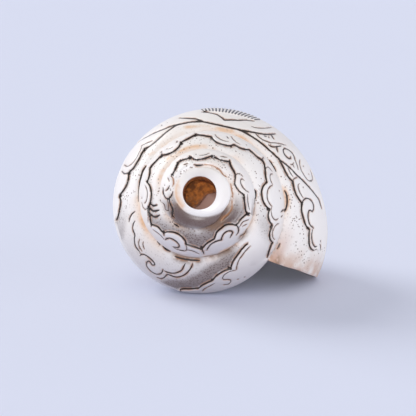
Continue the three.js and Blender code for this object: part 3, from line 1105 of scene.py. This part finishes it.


# Where stains, soiling, painted shade and the colours of the hollow come in, in millimetres, turns,
# places or slopes.
wear = {
    "shaded": (-0.3, 0.45),
    # painted shade: faces that look down turn grey
    "underShade": (0.0, 0.9),
    "ground": (0.1, 0.9),
    "groundEnd": (5, 9),
    "groundLess": 0.8,
    "wholeTurnCalm": (0.015, 0.06),  # beside the start of the last whorl
    "grimeAndShadeTurns": (0.1, 0.3),
    "belowCollar": (-0.1, 0.75),
    "collarShade": (-0.7, 0.6),
    "collarShadeEnd": (3.2, 1.5),
    "seamStain": 2.6,
    "seamStainEnd": (-0.45, -0.25),
    "seamStainLess": 0.7,
    "seamDirtAndShade": 1.1,
    "seamDirtAndShadeTurns": (0.12, 0.3),
    "hollow": (17.3, 18.2),
    "porcelain": (36, 60),
    "ledge": (-1.4, 1.4),
    "ledgeEnd": (34, 2),
    "boreDarkerLow": (-1.0, 5.0),
    "boreDarkerLowLean": 0.25,
    "lipEdge": (-0.04, 0.0),
    "blushTurns": (-0.09, -0.015),
    "blushPlaces": (0.26, 0.2),
}


def wornLooks(at, spots, normals, gap, seamNear, plain):
    skin, inside, onRamp = at["skin"], at["inside"], at["onRamp"]
    turn, depth, fromCollar = at["turn"], at["depth"], at["fromCollar"]
    x, y = at["own"][:, 0], at["own"][:, 1]
    boreX, boreY = opening["boreCentre"]
    ledge = pastLedge(x - boreX, y - boreY)
    ledgeDepth, ledgeSoft = wear["ledgeEnd"]
    shaded = ease(-normals[:, 2], *wear["shaded"])
    ground = ease(-gap, *wear["ground"]) * (1 - wear["groundLess"] * ease(-gap, *wear["groundEnd"]))
    ground = ground * (onRamp | at["onSide"])
    ground *= ease(np.abs(turn + 1), *wear["wholeTurnCalm"])
    shadeReach, shadeSoft = wear["collarShadeEnd"]
    # painted shade, with some soiling, on the ring below the collar
    collarShade = ease(-y / np.maximum(at["radius"], 1), *wear["belowCollar"])
    collarShade = collarShade * ease(fromCollar, *wear["collarShade"])
    collarShade = collarShade * np.exp(-(np.maximum(fromCollar - shadeReach, 0) / shadeSoft) ** 2)
    seamStain = np.exp(-seamNear / wear["seamStain"])
    seamStain = seamStain * (1 - wear["seamStainLess"] * ease(turn, *wear["seamStainEnd"]))
    # soiling with painted shade: darker near the seams on faces that look down
    seamDirtAndShade = np.exp(-(seamNear / wear["seamDirtAndShade"]) ** 2) * shaded * ease(-turn, *wear["seamDirtAndShadeTurns"])
    blushFrom, blushSoft = wear["blushPlaces"]
    blush = ease(turn, *wear["blushTurns"]) * ease(blushFrom - at["place"], 0, blushSoft)
    bore = ease(ledge, *wear["ledge"]) * ease(ledgeDepth - depth, 0, ledgeSoft)
    return {
        "fluteGapShade": at["fanGap"],
        "ground": ground,
        # soiling with painted shade: the carved ground is darkened on faces that look down
        "grimeAndShade": np.where(onRamp, ground * shaded * ease(-turn, *wear["grimeAndShadeTurns"]), 0),
        "collarShade": np.where(skin, collarShade, 0),
        # painted shade: faces that look down are greyed
        "underShade": np.where(skin, ease(-normals[:, 2], *wear["underShade"]), 0),
        "seamStain": np.where(onRamp, seamStain, 0),
        "seamDirtAndShade": np.where(onRamp, seamDirtAndShade, 0),
        "tanStain": np.where(skin, stainAt(plain, "tanStain", spots), 0),
        "darkStainAndShade": np.where(skin, stainAt(plain, "darkStainAndShade", spots), 0),
        "hollow": np.where(inside, ease(depth, *wear["hollow"]), 0.0),
        "porcelain": np.where(inside, ease(depth, *wear["porcelain"]), 0.0),
        "boreWall": np.where(inside, bore, 0.0),
        # the blow hole turns darker towards its lower left
        "boreDarkerLow": np.where(inside, ease(-y - wear["boreDarkerLowLean"] * x, *wear["boreDarkerLow"]), 0),
        "lipEdge": np.where(skin, ease(turn, *wear["lipEdge"]), 0),
        "blush": np.where(onRamp, blush, 0),
    }


def carve(shell, grownShell, fanMarks):
    mesh = shell.data
    plain = BVHTree.FromObject(shell, bpy.context.evaluated_depsgraph_get())
    frontEdges = photoLines(plain, ("cloudEdge",))
    backEdges = []
    backLines(list(frontEdges), backEdges)
    refine(mesh, frontEdges + backEdges)
    spots, normals = meshSpots(mesh)
    at = sortSpots(spots, grownShell, fanMarks)
    gap, past = cloudGaps(at, spots, grownShell, frontEdges, backEdges)
    fromSeam, toSeam = seamGaps(at)
    keepLayers(mesh, wornLooks(at, spots, normals, gap, np.minimum(fromSeam, toSeam), plain))
    moveSpots(mesh, spots, normals, cloudHeight(at, gap, past, fromSeam, toSeam))
    print("clouds raised along", len(frontEdges), "edge points")

    # the lines are cut once the clouds stand up
    raised = BVHTree.FromObject(shell, bpy.context.evaluated_depsgraph_get())
    lines = photoLines(raised, carving)
    print("lines read from the front:", len(lines), "points")
    backLines(lines, [])
    refine(mesh, lines)
    spots, normals = meshSpots(mesh)
    inkSide, inkNear, inkTone = inkAt(lines, spots, normals)
    groove = relief["groove"] * np.maximum(0, 1 - np.maximum(inkNear, 0) / relief["grooveHalf"]) * inkTone
    moveSpots(mesh, spots, normals, -groove)
    keepLayers(mesh, {"inkSide": inkSide, "inkNear": inkNear, "inkTone": inkTone})
    mesh.polygons.foreach_set("use_smooth", [True] * len(mesh.polygons))
    mesh.set_sharp_from_angle(angle=math.radians(relief["crease"]))
    mesh.update()
    print("carved:", len(mesh.polygons), "faces")


# Ivory shell with darkened lines that have a rusty edge, stained seams and a brown passage, and painted
# shade on faces that look down, below the collar, in the seams, at the cusps and between the fan's ribs.
finish = {
    "ivory": (0.89, 0.845, 0.79, 1),
    "ivoryWarm": (0.83, 0.74, 0.65, 1),
    "stain": (0.76, 0.45, 0.23, 1),
    "rust": (0.40, 0.16, 0.05, 1),
    "inkAndShade": (0.018, 0.008, 0.004, 1),
    "speck": (0.19, 0.11, 0.07, 1),
    # dark brown for soiling, also used for painted shade
    "grimeAndShade": (0.125, 0.078, 0.066, 1),
    # dark brown for stains and soiling, also used for painted shade
    "dirtAndShade": (0.20, 0.11, 0.06, 1),
    "passage": (0.60, 0.20, 0.04, 1),
    "passageDark": (0.22, 0.075, 0.022, 1),
    "boreWall": (0.47, 0.28, 0.215, 1),
    "blush": (0.62, 0.42, 0.33, 1),
    "lipBrown": (0.56, 0.33, 0.21, 1),
    "porcelain": (0.90, 0.82, 0.75, 1),
    "shadeGrey": (0.50, 0.46, 0.48, 1),
    "underShadeShare": 0.85,
    "blushShare": 0.8,
    "grimeAndShadeShare": (0.24, 0.74),  # what the pits add, and what lies everywhere
    "collarShare": (0.06, 0.93),
    "haloReach": (0.6, 0.0),  # millimetres from a line's edge
    "inkEdge": (1.12, 0.72),  # half widths from a line's middle
    "inkEnd": (0.24, 0.1),
    "inkBrown": (0.55, 0.9),
    "inkFull": (0.0, 0.8),
    "roughness": (0.34, 0.95),  # outside and in the hollow
    # scale and detail of the noise, where it sets in and is full, and its most
    "patches": {
        "ivoryWarm": (45.0, 3.0, 0.45, 0.75, 0.4),
        "seamStain": (90.0, 3.0, 0.42, 0.64, 0.4),
        "tanStain": (150.0, 4.0, 0.34, 0.62, 0.85),
        "specks": (260.0, 3.0, 0.34, 0.52, 0.95),
        "seamDirtAndShade": (70.0, 3.0, 0.45, 0.6, 0.85),
        "darkStainAndShade": (330.0, 3.0, 0.32, 0.52, 0.95),
        "halo": (420.0, 2.0, 0.3, 0.65, 0.75),
        "lipEdge": (160.0, 3.0, 0.3, 0.6, 0.75),
        "passageDark": (520.0, 3.0, 0.36, 0.66, 1.0),
        "boreDarkerLow": (640.0, 3.0, 0.42, 0.56, 0.85),
    },
    # scale of the cells, and the distances at which a dot ends and is full
    "dots": {
        "specks": (850.0, 0.34, 0.16),
        "pits": (1250.0, 0.5, 0.2),
    },
}


def node(tree, kind, **settings):
    made = tree.nodes.new(kind)
    for key, value in settings.items():
        setattr(made, key, value)
    return made


def feed(tree, socket, value):
    if isinstance(value, bpy.types.NodeSocket):
        tree.links.new(value, socket)
    else:
        socket.default_value = value


def sums(tree, operation, first, second=0.0):
    made = node(tree, "ShaderNodeMath", operation=operation, use_clamp=False)
    feed(tree, made.inputs[0], first)
    feed(tree, made.inputs[1], second)
    return made.outputs[0]


def span(tree, value, low, high, top=1.0):
    made = node(tree, "ShaderNodeMapRange", interpolation_type="SMOOTHSTEP")
    feed(tree, made.inputs["Value"], value)
    feed(tree, made.inputs["From Min"], low)
    feed(tree, made.inputs["From Max"], high)
    feed(tree, made.inputs["To Max"], top)
    return made.outputs["Result"]


def blendColour(tree, share, first, second):
    made = node(tree, "ShaderNodeMix", data_type="RGBA")
    feed(tree, made.inputs["Factor"], share)
    feed(tree, made.inputs[6], first)
    feed(tree, made.inputs[7], second)
    return made.outputs[2]


def attribute(tree, name):
    return node(tree, "ShaderNodeAttribute", attribute_name=name).outputs["Fac"]


def patchy(tree, name):
    scale, detail, low, high, most = finish["patches"][name]
    made = node(tree, "ShaderNodeTexNoise")
    feed(tree, made.inputs["Vector"], node(tree, "ShaderNodeTexCoord").outputs["Object"])
    feed(tree, made.inputs["Scale"], scale)
    feed(tree, made.inputs["Detail"], detail)
    return span(tree, made.outputs["Fac"], low, high, most)


# Round dots, one in the middle of each small cell.
def dotted(tree, name):
    scale, edge, heart = finish["dots"][name]
    made = node(tree, "ShaderNodeTexVoronoi")
    feed(tree, made.inputs["Vector"], node(tree, "ShaderNodeTexCoord").outputs["Object"])
    feed(tree, made.inputs["Scale"], scale)
    return span(tree, made.outputs["Distance"], edge, heart)


def shellFinish():
    material = bpy.data.materials.new("carvedIvoryShell")
    material.use_nodes = True
    tree = material.node_tree
    surface = tree.nodes["Principled BSDF"]

    def times(first, second):
        return sums(tree, "MULTIPLY", first, second)

    def scaled(value, gain, start):
        return sums(tree, "ADD", times(value, gain), start)

    def layer(name, share, colour, over):
        return blendColour(tree, times(attribute(tree, name), share), over, finish[colour])

    # the shell and its stains, with painted shade on faces that look down, below the collar and in the
    # seams
    colour = blendColour(tree, patchy(tree, "ivoryWarm"), finish["ivory"], finish["ivoryWarm"])
    # painted shade: faces that look down are blended towards a shade grey
    colour = layer("underShade", finish["underShadeShare"], "shadeGrey", colour)
    colour = layer("seamStain", patchy(tree, "seamStain"), "stain", colour)
    colour = layer("tanStain", patchy(tree, "tanStain"), "stain", colour)
    colour = layer("blush", finish["blushShare"], "blush", colour)
    specks = times(dotted(tree, "specks"), patchy(tree, "specks"))
    colour = layer("ground", specks, "speck", colour)
    pits = dotted(tree, "pits")
    # soiling with painted shade on the carved ground of faces that look down
    colour = layer("grimeAndShade", scaled(pits, *finish["grimeAndShadeShare"]), "grimeAndShade", colour)
    # painted shade, with some soiling, below the collar
    colour = layer("collarShade", scaled(pits, *finish["collarShare"]), "grimeAndShade", colour)
    # soiling with painted shade in the seams
    colour = layer("seamDirtAndShade", patchy(tree, "seamDirtAndShade"), "dirtAndShade", colour)
    # dark stains, and the painted shade in one seam recess
    colour = layer("darkStainAndShade", patchy(tree, "darkStainAndShade"), "dirtAndShade", colour)

    # the cut lines, with rust beside them
    tone = attribute(tree, "inkTone")
    near = attribute(tree, "inkNear")
    across = sums(tree, "ABSOLUTE", attribute(tree, "inkSide"))
    halo = times(span(tree, near, *finish["haloReach"]), patchy(tree, "halo"))
    colour = blendColour(tree, times(halo, tone), colour, finish["rust"])
    inkAndShade = times(span(tree, across, *finish["inkEdge"]), span(tree, near, *finish["inkEnd"]))
    inkColour = blendColour(tree, span(tree, tone, *finish["inkBrown"]), finish["rust"], finish["inkAndShade"])
    colour = blendColour(tree, times(inkAndShade, span(tree, tone, *finish["inkFull"])), colour, inkColour)
    # painted shade: black in the gaps between the fan's ribs
    colour = layer("fluteGapShade", 1.0, "inkAndShade", colour)
    colour = layer("lipEdge", patchy(tree, "lipEdge"), "lipBrown", colour)

    # the blow hole, the passage and the mouth
    deep = blendColour(tree, patchy(tree, "passageDark"), finish["passage"], finish["passageDark"])
    # darker towards the lower left of the blow hole
    deep = layer("boreDarkerLow", patchy(tree, "boreDarkerLow"), "dirtAndShade", deep)
    deep = layer("boreWall", 1.0, "boreWall", deep)
    deep = layer("porcelain", 1.0, "porcelain", deep)
    hollow = attribute(tree, "hollow")
    smooth, rough = finish["roughness"]
    feed(tree, surface.inputs["Base Color"], blendColour(tree, hollow, colour, deep))
    feed(tree, surface.inputs["Roughness"], scaled(hollow, rough - smooth, smooth))
    return material


def dressShell():
    shell, grownShell, fanMarks = openShell()
    carve(shell, grownShell, fanMarks)
    shell.name = "carvedShell"
    shell.data.materials.clear()
    shell.data.materials.append(shellFinish())
    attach(shell, "root")
    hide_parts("shell")
    print("shell dressed")


studio = {
    "floorSize": 12,
    "floor": (0.742, 0.772, 0.89, 1),
    "floorRoughness": 0.9,
    "wall": (0.71, 0.745, 0.905, 1),
    "wallGlow": 1.0,
    "wallRadius": 4.5,
    "wallHeight": 3,
    "wallSides": 96,
    "sky": (0.97, 0.96, 0.96, 1),
    "skyStrength": 0.53,
    # strength, spread in degrees and where the light comes from
    "lamps": {
        "key": (1.7, 40, (-0.75, 0.43, 0.5)),
        "front": (1.1, 7, (0.035, -0.977, 0.21)),
        "lipSide": (0.6, 40, (0.95, -0.2, 0.22)),
    },
}


def makeStudio():
    bpy.ops.mesh.primitive_plane_add(size=studio["floorSize"])
    floor = bpy.context.object
    floor.name = "paleFloor"
    matte = bpy.data.materials.new("palePaper")
    matte.use_nodes = True
    paper = matte.node_tree.nodes["Principled BSDF"]
    paper.inputs["Base Color"].default_value = studio["floor"]
    paper.inputs["Roughness"].default_value = studio["floorRoughness"]
    paper.inputs["Specular IOR Level"].default_value = 0.0
    floor.data.materials.append(matte)
    high = studio["wallHeight"]
    bpy.ops.mesh.primitive_cylinder_add(
        vertices=studio["wallSides"], radius=studio["wallRadius"], depth=high,
        end_fill_type="NOTHING", location=(0, 0, high / 2))
    wall = bpy.context.object
    wall.name = "paleBackdrop"
    wall.visible_shadow = False  # the lamps shine in through it
    glow = bpy.data.materials.new("litPaper")
    glow.use_nodes = True
    lit = glow.node_tree.nodes["Principled BSDF"]
    lit.inputs["Base Color"].default_value = (0, 0, 0, 1)
    lit.inputs["Specular IOR Level"].default_value = 0.0
    lit.inputs["Emission Color"].default_value = studio["wall"]
    lit.inputs["Emission Strength"].default_value = studio["wallGlow"]
    wall.data.materials.append(glow)
    world = bpy.data.worlds.new("softRoom")
    world.use_nodes = True
    sky = world.node_tree.nodes["Background"]
    sky.inputs["Color"].default_value = studio["sky"]
    sky.inputs["Strength"].default_value = studio["skyStrength"]
    bpy.context.scene.world = world
    for name, (strength, spread, aim) in studio["lamps"].items():
        lamp = bpy.data.lights.new(name, "SUN")
        lamp.energy = strength
        lamp.angle = math.radians(spread)
        light = bpy.data.objects.new(name, lamp)
        light.rotation_euler = Vector(aim).to_track_quat("Z", "Y").to_euler()
        bpy.context.scene.collection.objects.link(light)
    bpy.context.scene.view_settings.view_transform = "Standard"
    print("studio lit by", len(studio["lamps"]), "lamps")


makeCamera()
dressShell()
makeStudio()
